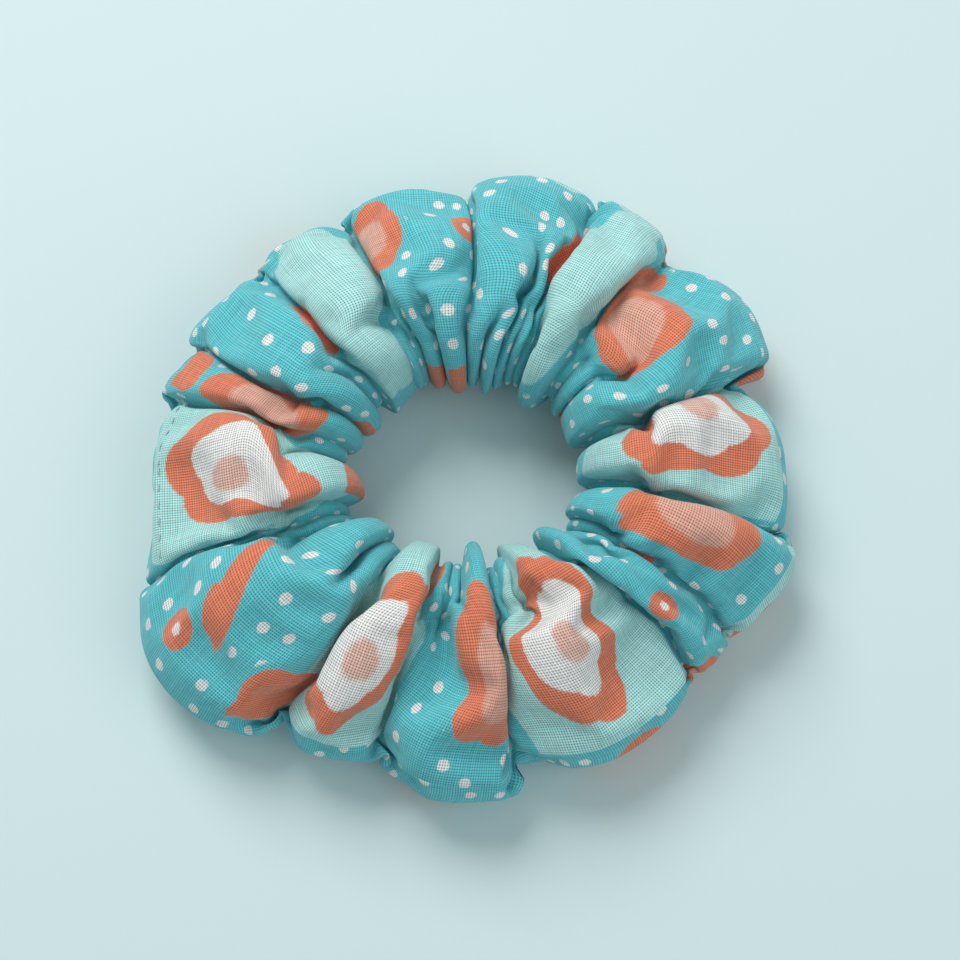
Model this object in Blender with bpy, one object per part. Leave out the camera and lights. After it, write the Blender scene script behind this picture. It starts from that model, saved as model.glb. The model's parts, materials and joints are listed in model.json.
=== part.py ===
"""Scrunchie: a gathered cotton cover on a sewn loop of flat elastic, lying flat.

The origin is the ring's centre on the plane it rests on, and +Z is the ring's axis. The hole is
oval, longer along X, and lies a little to the +Y side of the origin. The elastic's
overlapped ends, the cover's cross seam and its closing stitches are all at the -X side, in the
first puff. The other puffs follow it round the ring, anticlockwise from above.

The cover, the elastic and the long seam's thread each stretch as one piece. A rigid body cannot
stretch, so each of the three is divided at the valleys between puffs, and what lies in one puff
shares one body. The first puff holds both ends of each long piece, sewn together: the starts are
on the first body and the finishes on the last. Every body hangs from the one before it, through an
empty at its puff's centre.
"""

import math

import bmesh
import bpy
from mathutils import Matrix, Vector

# Driving dimensions, in metres and, for the puffs, degrees.
OUTER_RADIUS = 0.0565
HOLE_HALF_LENGTH = 0.0185
HOLE_HALF_WIDTH = 0.0140
HOLE_SHIFT = 0.0020
CROWN_HEIGHT = 0.028
MID_HEIGHT = 0.011
CLEARANCE = 0.0003

# The first puff starts at this angle from +X. The cross seam lies inside it.
FIRST_VALLEY = 165.0
JOIN_ANGLE = math.radians(180.0)
PUFF_WIDTHS = (33, 33, 22.5, 26.5, 37, 14, 21, 28, 29, 17, 24, 23.5, 21.5, 30)

# Cover.
VALLEY_DEPTH = 0.004
COVER_THICKNESS = 0.0008
OUTER_TAPER = 0.35
UNDERSIDE_SWELL = 1.3
SECTION_POINTS = 16
STEP_ANGLE = math.radians(4.5)

# Elastic: a flat band whose ends lie one over the other, the start inside and the finish outside.
ELASTIC_INSET = 0.0072
ELASTIC_WIDTH = 0.006
ELASTIC_THICKNESS = 0.0012

# Threads.
THREAD_RADIUS = 0.0002
CLOSING_ANGLE = math.radians(22)
CLOSING_STITCHES = 8
CLOSING_WAVE = 0.0007
JOIN_STITCH_ANGLE = math.radians(22)
JOIN_STITCH_TURNS = 7


def clear_scene():
    for obj in list(bpy.data.objects):
        bpy.data.objects.remove(obj, do_unlink=True)


def make_material(name, colour, roughness):
    material = bpy.data.materials.new(name)
    material.use_nodes = True
    shader = material.node_tree.nodes["Principled BSDF"]
    shader.inputs["Base Color"].default_value = (*colour, 1.0)
    shader.inputs["Roughness"].default_value = roughness
    shader.inputs["Metallic"].default_value = 0.0
    return material


def outward(angle):
    return Vector((math.cos(angle), math.sin(angle), 0.0))


def along(angle):
    return Vector((-math.sin(angle), math.cos(angle), 0.0))


def hole_radius(angle):
    """An ellipse about the origin, shifted along +Y."""
    reach = math.hypot(HOLE_HALF_WIDTH * math.cos(angle), HOLE_HALF_LENGTH * math.sin(angle))
    return HOLE_HALF_LENGTH * HOLE_HALF_WIDTH / reach + HOLE_SHIFT * math.sin(angle)


def elastic_radius(angle):
    """The band runs inside the cover, at the same distance from the hole all the way round."""
    return hole_radius(angle) + ELASTIC_INSET


def puff_bounds():
    """The start and end angle of each puff."""
    bounds = []
    start = math.radians(FIRST_VALLEY)
    for width in PUFF_WIDTHS:
        bounds.append((start, start + math.radians(width)))
        start = bounds[-1][1]
    return bounds


PUFFS = puff_bounds()
JOIN_PUFF = PUFFS[0]
LAP_START = JOIN_PUFF[0] + 2 * math.pi


def steps_between(start, end):
    return max(2, math.ceil((end - start) / STEP_ANGLE))


def add_body_empties():
    """One empty for each body, on the elastic at its puff's centre, hung from the one before."""
    empties = []
    for index, (start, end) in enumerate([*PUFFS, JOIN_PUFF]):
        empty = bpy.data.objects.new(f"body_{index + 1:02d}", None)
        empty.empty_display_size = ELASTIC_WIDTH
        bpy.context.scene.collection.objects.link(empty)
        centre = (start + end) / 2
        place = outward(centre) * elastic_radius(centre) + Vector((0.0, 0.0, MID_HEIGHT))
        if empties:
            empty.parent = empties[-1]
            empty.matrix_parent_inverse = empties[-1].matrix_world.inverted()
        empty.matrix_world = Matrix.Translation(place) @ Matrix.Rotation(centre, 4, "Z")
        bpy.context.view_layer.update()
        empties.append(empty)
    return empties


def add_piece(name, data, material, empty):
    piece = bpy.data.objects.new(name, data)
    bpy.context.scene.collection.objects.link(piece)
    piece.data.materials.append(material)
    piece.parent = empty
    piece.matrix_parent_inverse = empty.matrix_world.inverted()
    return piece


def puff_fullness(angle):
    """1 on a puff's crown and 0 in the valley between two puffs."""
    turned = (angle - JOIN_PUFF[0]) % (2 * math.pi) + JOIN_PUFF[0]
    for start, end in PUFFS:
        if turned <= end:
            return math.sin(math.pi * (turned - start) / (end - start))
    return 0.0


def teardrop(turn):
    """Half height of the section, where turn runs round it from the hole's edge."""
    across = (1 - math.cos(turn)) / 2
    return math.sin(turn) * (1 - OUTER_TAPER * across)


TEARDROP_PEAK = max(teardrop(math.radians(degree)) for degree in range(180))


def cover_edge_radius(angle):
    return OUTER_RADIUS - VALLEY_DEPTH * (1 - puff_fullness(angle))


def cover_point(angle, turn, inset):
    """A point of the cover's section at this angle round the ring, inset from its outer face."""
    low_radius = hole_radius(angle) + inset
    high_radius = cover_edge_radius(angle) - inset
    across = (1 - math.cos(turn)) / 2
    radius = low_radius + (high_radius - low_radius) * across
    crown = CROWN_HEIGHT - VALLEY_DEPTH * (1 - puff_fullness(angle)) - inset
    half_height = teardrop(turn) / TEARDROP_PEAK
    if half_height > 0:
        height = MID_HEIGHT + (crown - MID_HEIGHT) * half_height
    else:
        height = max(inset, MID_HEIGHT + (MID_HEIGHT - inset) * UNDERSIDE_SWELL * half_height)
    return outward(angle) * radius + Vector((0.0, 0.0, height))


def elastic_section(angle, travelled):
    """The band's four corners. It spirals out by its own thickness over one loop."""
    spiral = (ELASTIC_THICKNESS + CLEARANCE) * travelled / (2 * math.pi)
    corners = []
    for side, end in ((-1, -1), (1, -1), (1, 1), (-1, 1)):
        radius = elastic_radius(angle) + spiral + side * ELASTIC_THICKNESS / 2
        height = MID_HEIGHT + end * ELASTIC_WIDTH / 2
        corners.append(outward(angle) * radius + Vector((0.0, 0.0, height)))
    return corners


def stations_between(start, end):
    """Angles from start to end, each with the small step along that clears the next piece."""
    steps = steps_between(start, end)
    stations = []
    for step in range(steps + 1):
        angle = start + (end - start) * step / steps
        shift = 0.0
        if step == 0:
            shift = CLEARANCE / 2
        elif step == steps:
            shift = -CLEARANCE / 2
        stations.append((angle, along(angle) * shift))
    return stations


def skin(rings, offset):
    """Quads between each ring of points and the next."""
    count = len(rings[0])
    faces = []
    for row in range(len(rings) - 1):
        for column in range(count):
            here = offset + row * count + column
            beside = offset + row * count + (column + 1) % count
            faces.append((here, beside, beside + count, here + count))
    return faces


def closed_mesh(name, points, faces):
    mesh = bpy.data.meshes.new(name)
    mesh.from_pydata(points, [], faces)
    edit = bmesh.new()
    edit.from_mesh(mesh)
    bmesh.ops.recalc_face_normals(edit, faces=edit.faces)
    edit.to_mesh(mesh)
    edit.free()
    mesh.shade_smooth()
    mesh.set_sharp_from_angle(angle=math.radians(40))
    return mesh


def add_cover_length(name, start, end, material, empty):
    """A length of the cover: a tube of cloth, open at both ends where the elastic runs on."""
    stations = stations_between(start, end)
    turns = [2 * math.pi * step / SECTION_POINTS for step in range(SECTION_POINTS)]
    outer = [[cover_point(a, turn, 0.0) + shift for turn in turns] for a, shift in stations]
    inner = [
        [cover_point(a, turn, COVER_THICKNESS) + shift for turn in turns] for a, shift in stations
    ]
    points = [point for ring in outer + inner for point in ring]
    inner_offset = len(outer) * SECTION_POINTS
    faces = skin(outer, 0) + skin(inner, inner_offset)
    for row in (0, len(outer) - 1):
        for column in range(SECTION_POINTS):
            here = row * SECTION_POINTS + column
            beside = row * SECTION_POINTS + (column + 1) % SECTION_POINTS
            faces.append((here, beside, inner_offset + beside, inner_offset + here))
    return add_piece(name, closed_mesh(name, points, faces), material, empty)


def add_elastic_length(name, start, end, material, empty):
    """A length of the elastic. It runs level through the join and spirals out between."""
    rings = []
    for angle, shift in stations_between(start, end):
        travelled = (angle - JOIN_PUFF[1]) / (LAP_START - JOIN_PUFF[1])
        spiral = 2 * math.pi * min(max(travelled, 0.0), 1.0)
        rings.append([corner + shift for corner in elastic_section(angle, spiral)])
    corners = len(rings[0])
    points = [point for ring in rings for point in ring]
    last = len(points) - corners
    caps = [tuple(range(corners)), tuple(range(last, last + corners))]
    return add_piece(name, closed_mesh(name, points, skin(rings, 0) + caps), material, empty)


def add_thread(name, path, closed, material, empty):
    curve = bpy.data.curves.new(name, "CURVE")
    curve.dimensions = "3D"
    curve.bevel_depth = THREAD_RADIUS
    curve.bevel_resolution = 1
    curve.use_fill_caps = True
    spline = curve.splines.new("POLY")
    spline.points.add(len(path) - 1)
    for spot, place in zip(spline.points, path):
        spot.co = (*place, 1.0)
    spline.use_cyclic_u = closed
    return add_piece(name, curve, material, empty)


def add_seam_thread(name, start, end, material, empty):
    """A length of the long seam's thread, just inside the cover's outer edge."""
    inset = COVER_THICKNESS + CLEARANCE + 3 * THREAD_RADIUS
    path = []
    for angle, shift in stations_between(start, end):
        radius = cover_edge_radius(angle) - inset
        path.append(outward(angle) * radius + Vector((0.0, 0.0, MID_HEIGHT)) + shift)
    return add_thread(name, path, False, material, empty)


def add_cross_seam_stitch(material, empty):
    """The ring of thread that joins the cover's two ends, inside the tube at the join."""
    inset = COVER_THICKNESS + CLEARANCE + 2 * THREAD_RADIUS
    turns = [2 * math.pi * step / SECTION_POINTS for step in range(SECTION_POINTS)]
    path = [cover_point(JOIN_ANGLE, turn, inset) for turn in turns]
    return add_thread("cross_seam_stitch", path, True, material, empty)


def add_closing_stitch(material, empty):
    """The topstitch that closes the cover's last gap, weaving along one puff's outer edge."""
    stand_off = CLEARANCE + 2 * THREAD_RADIUS
    steps = 4 * CLOSING_STITCHES
    path = []
    for step in range(steps + 1):
        angle = sum(JOIN_PUFF) / 2 + CLOSING_ANGLE * (step / steps - 0.5)
        wave = CLOSING_WAVE * math.sin(step * math.pi / 2)
        radius = cover_edge_radius(angle) + stand_off
        path.append(outward(angle) * radius + Vector((0.0, 0.0, MID_HEIGHT + wave)))
    return add_thread("closing_stitch", path, False, material, empty)


def add_elastic_join_stitch(material, empty):
    """Thread wound square round the elastic's two overlapped ends."""
    reach = CLEARANCE + 2 * THREAD_RADIUS
    low = -ELASTIC_THICKNESS / 2 - reach
    high = CLEARANCE + 1.5 * ELASTIC_THICKNESS + reach
    rise = ELASTIC_WIDTH / 2 + reach
    corners = ((low, -rise), (high, -rise), (high, rise), (low, rise))
    steps = len(corners) * JOIN_STITCH_TURNS
    path = []
    for step in range(steps + 1):
        depth, height = corners[step % len(corners)]
        angle = sum(JOIN_PUFF) / 2 + JOIN_STITCH_ANGLE * (step / steps - 0.5)
        radius = elastic_radius(angle) + depth
        path.append(outward(angle) * radius + Vector((0.0, 0.0, MID_HEIGHT + height)))
    return add_thread("elastic_join_stitch", path, False, material, empty)


def add_puff(number, bounds, materials, empty):
    """One whole puff, away from the join."""
    add_cover_length(f"cover_puff_{number:02d}", *bounds, materials["cover"], empty)
    add_elastic_length(f"elastic_length_{number:02d}", *bounds, materials["elastic"], empty)
    add_seam_thread(f"seam_thread_{number:02d}", *bounds, materials["seam_thread"], empty)


def add_join(materials, first, last):
    """The first puff. The long seam's thread stops short of the cross seam's ring of thread."""
    start, end = JOIN_PUFF
    thread_gap = 4 * THREAD_RADIUS / (OUTER_RADIUS - VALLEY_DEPTH)
    cover = materials["cover"]
    elastic = materials["elastic"]
    thread = materials["seam_thread"]
    add_cover_length("cover_start", JOIN_ANGLE, end, cover, first)
    add_cover_length("cover_finish", start, JOIN_ANGLE, cover, last)
    add_elastic_length("elastic_start", start, end, elastic, first)
    lap_end = end + 2 * math.pi
    add_elastic_length("elastic_finish", LAP_START, lap_end, elastic, last)
    add_seam_thread("seam_thread_start", JOIN_ANGLE + thread_gap, end, thread, first)
    add_seam_thread("seam_thread_finish", start, JOIN_ANGLE - thread_gap, thread, last)
    add_elastic_join_stitch(materials["join_thread"], first)
    add_cross_seam_stitch(thread, first)
    add_closing_stitch(materials["closing_thread"], first)


def main():
    clear_scene()
    materials = {
        "cover": make_material("printed_cotton", (0.16, 0.47, 0.50), 0.9),
        "elastic": make_material("white_elastic", (0.82, 0.82, 0.80), 0.7),
        "seam_thread": make_material("seam_thread", (0.55, 0.76, 0.78), 0.6),
        "join_thread": make_material("join_thread", (0.85, 0.85, 0.83), 0.6),
        "closing_thread": make_material("closing_thread", (0.30, 0.60, 0.62), 0.6),
    }
    empties = add_body_empties()
    add_join(materials, empties[0], empties[-1])
    for number, bounds in enumerate(PUFFS[1:], start=2):
        add_puff(number, bounds, materials, empties[number - 1])


main()
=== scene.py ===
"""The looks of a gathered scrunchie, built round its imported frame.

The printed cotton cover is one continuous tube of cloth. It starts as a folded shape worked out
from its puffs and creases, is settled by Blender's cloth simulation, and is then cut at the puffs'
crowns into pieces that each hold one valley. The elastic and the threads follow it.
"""

import json
import math
from collections import namedtuple

import bpy
import numpy as np
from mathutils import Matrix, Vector


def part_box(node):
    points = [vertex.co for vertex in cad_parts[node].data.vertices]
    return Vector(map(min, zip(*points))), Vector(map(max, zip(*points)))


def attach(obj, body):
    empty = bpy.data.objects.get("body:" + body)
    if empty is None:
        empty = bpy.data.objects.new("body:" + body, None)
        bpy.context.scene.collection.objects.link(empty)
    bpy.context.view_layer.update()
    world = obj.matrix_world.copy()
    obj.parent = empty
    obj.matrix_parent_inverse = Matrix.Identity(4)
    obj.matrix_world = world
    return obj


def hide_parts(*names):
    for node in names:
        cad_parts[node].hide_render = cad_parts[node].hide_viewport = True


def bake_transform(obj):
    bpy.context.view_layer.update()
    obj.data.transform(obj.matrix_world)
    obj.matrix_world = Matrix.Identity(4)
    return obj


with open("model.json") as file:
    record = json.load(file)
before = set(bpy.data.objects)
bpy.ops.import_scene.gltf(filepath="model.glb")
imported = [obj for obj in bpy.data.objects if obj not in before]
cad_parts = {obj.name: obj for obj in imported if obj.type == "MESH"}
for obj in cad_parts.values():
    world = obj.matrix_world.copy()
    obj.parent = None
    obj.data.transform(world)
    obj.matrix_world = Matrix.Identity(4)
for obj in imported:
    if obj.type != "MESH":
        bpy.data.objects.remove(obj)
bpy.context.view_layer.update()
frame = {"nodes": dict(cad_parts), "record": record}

MM = 0.001


def hole_reach(degrees, window=3.0):
    """The hole's radius in the frame, in mm, within a small window of angles."""
    direction = Vector((math.cos(math.radians(degrees)), math.sin(math.radians(degrees))))
    reaches = []
    for name, node in frame["nodes"].items():
        if name.startswith("cover_"):
            places = [vertex.co.xy for vertex in node.data.vertices]
            reaches += [p.length for p in places if p.angle(direction) < math.radians(window)]
    return min(reaches) / MM


# The ring, from the frame, in mm. Every angle runs anticlockwise from +X, seen from above.
BODIES = list(frame["record"]["behaviour"]["bodies"])
HOLE_HALF_LENGTH = (hole_reach(0) + hole_reach(180)) / 2
HOLE_HALF_WIDTH = (hole_reach(90) + hole_reach(270)) / 2
HOLE_SHIFT = (hole_reach(90) - hole_reach(270)) / 2
CROWN_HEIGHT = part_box("cover_start")[1].z / MM
ELASTIC_LOW, ELASTIC_HIGH = (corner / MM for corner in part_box("elastic_start"))
MID_HEIGHT = (ELASTIC_LOW.z + ELASTIC_HIGH.z) / 2

# The elastic, in mm: a ribbed band whose ends lap at the join, from LAP_START to LAP_END.
# RIB_DEPTH and EDGE_THINNING are shares of its thickness. Its rings are RING_STEP degrees apart.
ELASTIC_WIDTH = ELASTIC_HIGH.z - ELASTIC_LOW.z
ELASTIC_THICKNESS = 1.2
ELASTIC_INSET = -ELASTIC_LOW.x - ELASTIC_THICKNESS / 2 - HOLE_HALF_LENGTH
ELASTIC_RIBS = 5
RIB_DEPTH = 0.36
EDGE_THINNING = 0.35
LAP_START = math.radians(171.5)
LAP_END = math.radians(191.5)
LAP_GAP = 0.3
RING_STEP = 1.5

# The first valley and the sewn join, in degrees. JOIN_GAP keeps the cover's two ends a hair apart
# there, as a share of a column of cloth.
FIRST_VALLEY = 165.0
JOIN_ANGLE = 180.0
JOIN_GAP = 0.015

# Puffs in order round the ring. width: degrees. near and far: how far out its first and last outer
# corners reach, in mm. bulge: how far its outer edge swells beyond the line between them. gap: how
# much of the valley before it is left at the outer edge, from 0 to 1. sink: how far the crown lies
# below its neighbours', in mm. lean: how far the puff leans over its next neighbour (minus: over
# the one before). creases: (place across the puff from 0 to 1, how far from the hole's edge
# towards the outer edge it runs, from 0 to 1).
Puff = namedtuple("Puff", "width near far bulge gap sink lean creases")
PUFFS = (
    Puff(33.0, 55.0, 57.5, 0.5, 0.60, 0.4, 0.45, ((0.20, 0.45), (0.80, 0.60))),
    Puff(33.0, 59.0, 57.5, 4.5, 0.35, -0.6, 0.30, ((0.16, 0.50), (0.66, 0.42))),
    Puff(22.5, 53.0, 51.0, 2.0, 1.00, 0.6, 0.50, ((0.87, 0.50),)),
    Puff(26.5, 52.0, 56.0, 1.5, 1.00, -0.2, 0.55, ((0.22, 0.92), (0.44, 0.40))),
    Puff(37.0, 50.5, 53.5, 3.0, 0.80, -0.6, 0.50, ((0.14, 0.50), (0.32, 0.55), (0.82, 0.30))),
    Puff(14.0, 52.0, 53.5, 1.0, 0.80, 2.0, 0.20, ((0.60, 0.75),)),
    Puff(21.0, 54.0, 58.5, 0.5, 0.80, 0.0, -0.50, ((0.26, 0.40),)),
    Puff(28.0, 56.0, 52.0, 2.0, 0.80, 0.4, -0.50, ((0.14, 0.40), (0.84, 0.50))),
    Puff(29.0, 57.0, 54.0, 2.5, 1.00, -0.8, -0.65, ((0.60, 0.70), (0.84, 0.40))),
    Puff(17.0, 55.5, 58.0, 0.5, 0.60, 0.4, 0.35, ((0.72, 0.50),)),
    Puff(24.0, 56.0, 55.0, 2.5, 0.80, 0.2, -0.50, ((0.20, 0.40), (0.42, 0.92), (0.72, 0.35))),
    Puff(23.5, 52.5, 54.5, 1.0, 0.50, -0.6, 0.55, ((0.50, 0.60), (0.84, 0.50))),
    Puff(21.5, 53.0, 54.0, 1.0, 0.80, 0.4, 0.60, ((0.16, 0.50),)),
    Puff(30.0, 54.0, 56.0, 0.5, 0.80, -0.2, 0.45, ((0.62, 1.00), (0.18, 0.45))),
)

# The cover, in mm: a tube of cloth with its long seam at the ring's outer edge. A narrow puff hides
# more of its cloth in its walls, so each puff has FOLD_SHARE of cloth before its width adds more.
COVER_LENGTH = 480.0
COVER_GIRTH = 94.0
CLOTH_THICKNESS = 0.30
FOLD_SHARE = 9.0
COLUMNS = 336
ROWS = 60

# The section of the ring that the crowns follow. Drops and gaps are in mm, and SETTLING is how far
# the simulation draws the outer edge in. SECTION_STEP is a share of a turn round the section.
TIP_SHARPNESS = 0.75
TIP_DROP = 2.0
FLOOR_GAP = 1.5
CROWN_GAP = 1.0
SETTLING = 1.3
SECTION_STEP = 0.004

# How deep the valleys may go, in mm: clear of the elastic and of the tube's other side, and less
# deep near the hole. RIM_RELIEF is how much that limit grows from the hole to the outer edge.
# RIM_SHARE and TIP_SHARE, as shares of the way out, mark off the hole's edge and the outer edge.
ELASTIC_ROOM = 4.9
MIDDLE_GAP = 0.9
LEAST_ROOM = 1.5
MOST_ROOM = 11.5
ROOM_STEP = 0.25
RIM_ROOM = 3.6
RIM_RELIEF = 24.0
RIM_SHARE = 0.10
TIP_ROOM = 7.0
TIP_SHARE = 0.96

# The shape of the folds. More flatness makes flatter panels and sharper folds between them.
# EASY_SIDE is how much gentler a slope is on the side that a puff doesn't lean to. SKEW moves a
# leaning crown along the cloth, and LEAN_REACH moves it through the air. CREASE_FADE is the share
# of a crease over which it dies away. The last three are the fold's solver's.
WALL_ANGLE = math.radians(84)
RIM_FLATNESS = 2.2
PANEL_FLATNESS = 3.6
EASY_SIDE = 0.8
SKEW = 2.0
LEAN_REACH = 0.5
CREASE_FADE = 0.65
MOST_FILL = 0.98
STEEPEST = 60.0
HALVINGS = 40
FOLD_STEPS = 200

# How far the valleys and the gathers at the hole's edge wander, in mm. RIM_BAND is how far out
# those gathers reach, and RIM_SINK is the share of a puff's sink that is left there.
FOLD_WANDER = 2.0
FOLD_SLANT = math.radians(4)
RIM_WANDER = 0.8
RIM_BAND = 0.35
RIM_SINK = 0.3

# Where a puff may be cut, as shares of its cloth, and how much of the room between a piece's ends
# its band over the valley takes.
CUT_SEARCH = (0.25, 0.75)
BAND_SHARE = 0.98

# The threads, in mm. TOPSTITCH_SHARE is how far the closing stitch runs each way from the join, as
# a share of the first puff's cloth.
THREAD_RADIUS = 0.17
THREAD_SIDES = 8
STITCH_LENGTH = 2.8
SEAM_INSET = 0.55
SEAM_WAVE = 0.10
TOPSTITCH_WAVE = 0.36
TOPSTITCH_INSET = 2.4
TOPSTITCH_SHARE = 0.38

# The weave and the print, in mm. SLUB_LENGTH is how long a thick or a thin stretch of yarn is.
# RAGGED is how much a yarn crossing may shift an ink's edge, the SOFT values are half the edge's
# width, and PINK_COVER is the share of what lies under the pink that the pink hides.
YARN_PITCH = 0.42
SLUB_LENGTH = 7.0
DOT_PITCH = 6.4
DOT_RADIUS = 0.95
DOT_SOFT = 0.15
DOT_CLEARANCE = (0.8, 1.6)
RAGGED = 0.22
SOFT = 0.22
PINK_SOFT = 0.5
PINK_COVER = 0.85

# The cloth simulation, run larger than life because the solver is made for bigger cloths.
# SIM_MOST_MOVE is in mm. SIM_RIM is where, on the way out, the hold on the hole's edge ends.
SIM_SCALE = 10.0
SIM_FRAMES = 18
SIM_SWELL = 0.04
SIM_MOST_MOVE = 6.0
SIM_EDGE_HOLD = 0.6
SIM_RIM = (0.05, 0.20)
SIM_FLOOR = 2.0

SEED = 11


def smooth_step(x):
    x = np.clip(x, 0.0, 1.0)
    return x * x * (3 - 2 * x)


def unit(vectors):
    """Vectors of length 1, along the last axis."""
    return vectors / np.linalg.norm(vectors, axis=-1, keepdims=True)


def outward(angle):
    """The way out from the ring's axis at this angle."""
    return np.array([math.cos(angle), math.sin(angle), 0.0])


def onward(angle):
    """The way along the ring at this angle, square to the way out."""
    return np.array([-math.sin(angle), math.cos(angle), 0.0])


def add_object(name, data):
    obj = bpy.data.objects.new(name, data)
    bpy.context.scene.collection.objects.link(obj)
    return obj


def square_mesh(name, half_size):
    mesh = bpy.data.meshes.new(name)
    corners = [(-1, -1, 0), (1, -1, 0), (1, 1, 0), (-1, 1, 0)]
    places = [[half_size * value for value in corner] for corner in corners]
    mesh.from_pydata(places, [], [(0, 1, 2, 3)])
    return mesh


# ---- the folded start shape ----


def hole_radius(angle):
    """An ellipse about the origin, shifted along +Y."""
    reach = np.hypot(HOLE_HALF_WIDTH * np.cos(angle), HOLE_HALF_LENGTH * np.sin(angle))
    return HOLE_HALF_LENGTH * HOLE_HALF_WIDTH / reach + HOLE_SHIFT * np.sin(angle)


def elastic_radius(angle):
    return hole_radius(angle) + ELASTIC_INSET


def swell(across):
    """The section's half height from the hole to the outer edge: blunt first, then a crisp edge."""
    return np.sqrt(across) * (1 - across) ** TIP_SHARPNESS


SWELL_PEAK = swell(np.linspace(0, 1, 1001)).max()


def ring_section(turn, hole, outer):
    """(radius, height) of the crowns' section. turn goes from 0 at the hole, over the top, to 1."""
    across = (1 - np.cos(2 * np.pi * turn)) / 2
    rise = np.sign(np.sin(2 * np.pi * turn)) * swell(across) / SWELL_PEAK
    top = CROWN_HEIGHT - CROWN_GAP - MID_HEIGHT
    under = MID_HEIGHT - FLOOR_GAP
    radius = hole + (outer - hole) * across
    height = MID_HEIGHT + np.where(rise > 0, top, under) * rise - TIP_DROP * across**2
    return radius, height


def section_normals(turn, hole, outer):
    """Outward directions of the section, from two points close to each other."""
    before_r, before_z = ring_section(turn - SECTION_STEP, hole, outer)
    after_r, after_z = ring_section(turn + SECTION_STEP, hole, outer)
    length = np.hypot(after_r - before_r, after_z - before_z)
    return (before_z - after_z) / length, (after_r - before_r) / length


def even_turns(count):
    """Turns that cut the section into lengths that are all the same."""
    fine = np.linspace(0, 1, 4001)
    outer = np.mean([puff.near for puff in PUFFS])
    radius, height = ring_section(fine, HOLE_HALF_LENGTH, outer)
    run = np.concatenate([[0], np.cumsum(np.hypot(np.diff(radius), np.diff(height)))])
    return np.interp(np.linspace(0, run[-1], count, endpoint=False), run, fine)


def outline_radius(puff, place):
    """A puff's outer edge: a straight line between its corners, and a little bulge beyond it."""
    width = math.radians(puff.width)
    span = puff.near * np.sin(width * place) + puff.far * np.sin(width * (1 - place))
    straight = puff.near * puff.far * math.sin(width) / span
    return straight + puff.bulge * 4 * place * (1 - place) + SETTLING


def pleat_slopes(places, ends):
    """Falls from 1 to -1 across each pleat: a round crown with a sharp valley at each end."""
    slopes = np.zeros_like(places)
    for low, high in zip(ends[:-1], ends[1:]):
        inside = (places >= low) & (places < high)
        slopes[inside] = 1 - 2 * (places[inside] - low) / (high - low)
    return slopes


def skewed(places, lean):
    """Moves the crown towards the neighbour that the puff leans over."""
    if lean >= 0:
        return places ** (1 + SKEW * lean)
    return 1 - (1 - places) ** (1 - SKEW * lean)


def crease_strength(out, reach):
    """How much of a crease is left at one distance out: all of it if it runs to the edge."""
    if reach >= 1:
        return 1.0
    return float(smooth_step((reach - out) / (CREASE_FADE * reach)))


def fold_slopes(puff, out):
    """How steeply the cloth rises along a puff: 1 after a valley, 0 at a crown, -1 before a valley."""
    places = (np.arange(FOLD_STEPS) + 0.5) / FOLD_STEPS
    ends = [0.0, 1.0]
    slopes = pleat_slopes(skewed(places, puff.lean), ends)
    for place, reach in sorted(puff.creases, key=lambda crease: -crease[1]):
        ends = sorted([*ends, place])
        strength = crease_strength(out, reach)
        slopes = slopes + (pleat_slopes(places, ends) - slopes) * strength
    easy = slopes * puff.lean > 0
    slopes[easy] *= 1 - EASY_SIDE * abs(puff.lean)
    flatness = RIM_FLATNESS + (PANEL_FLATNESS - RIM_FLATNESS) * out
    return np.sign(slopes) * np.abs(slopes) ** flatness


def fold_angles(slopes, fill):
    """The cloth's angles along a fold, as steep as they must be for it to fit its puff's width."""
    low, high = 0.0, STEEPEST
    for _ in range(HALVINGS):
        steep = (low + high) / 2
        angles = np.clip(steep * slopes, -WALL_ANGLE, WALL_ANGLE)
        if np.cos(angles).mean() > fill:
            low = steep
        else:
            high = steep
    return angles


def fold_curve(puff, out, fill):
    """One puff's fold at one distance out. fill is its open width over its length of cloth.

    It returns, at even places along the cloth, how far across the puff each place is, from 0 to 1,
    and how deep it lies below the crown, as a share of the puff's length of cloth.
    """
    angles = fold_angles(fold_slopes(puff, out), fill)
    across = np.concatenate([[0], np.cumsum(np.cos(angles))])
    rise = np.concatenate([[0], np.cumsum(np.sin(angles))]) / FOLD_STEPS
    rise -= rise[-1] * np.linspace(0, 1, FOLD_STEPS + 1)
    return across / across[-1], rise.max() - rise


def fold_room(puff, middle, row):
    """How deep a puff's valley may go at this row before it meets the elastic or the other side."""
    relief = RIM_ROOM + RIM_RELIEF * row.out
    if row.out > TIP_SHARE:
        return TIP_ROOM
    if row.out < RIM_SHARE:
        return relief if row.side > 0 else RIM_ROOM
    hole = hole_radius(middle)
    outer = outline_radius(puff, 0.5)
    radius, height = ring_section(row.turn, hole, outer)
    normal_r, normal_z = section_normals(row.turn, hole, outer)
    core = elastic_radius(middle) + ELASTIC_THICKNESS / 2
    halfway = MID_HEIGHT - TIP_DROP * row.out**2
    side = 1 if height >= halfway else -1
    depth = LEAST_ROOM
    while depth < min(MOST_ROOM, relief):
        deeper = depth + ROOM_STEP
        r = radius - normal_r * deeper
        z = height - normal_z * deeper
        near_elastic = math.hypot(r - core, z - MID_HEIGHT) < ELASTIC_ROOM
        past_middle = (z - halfway) * side < MIDDLE_GAP
        if near_elastic or past_middle:
            break
        depth = deeper
    return depth


def puff_lengths():
    """Each puff's length of cloth, in mm."""
    widths = np.array([puff.width for puff in PUFFS])
    spare = COVER_LENGTH - FOLD_SHARE * len(PUFFS)
    return FOLD_SHARE + spare * widths / 360


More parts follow.
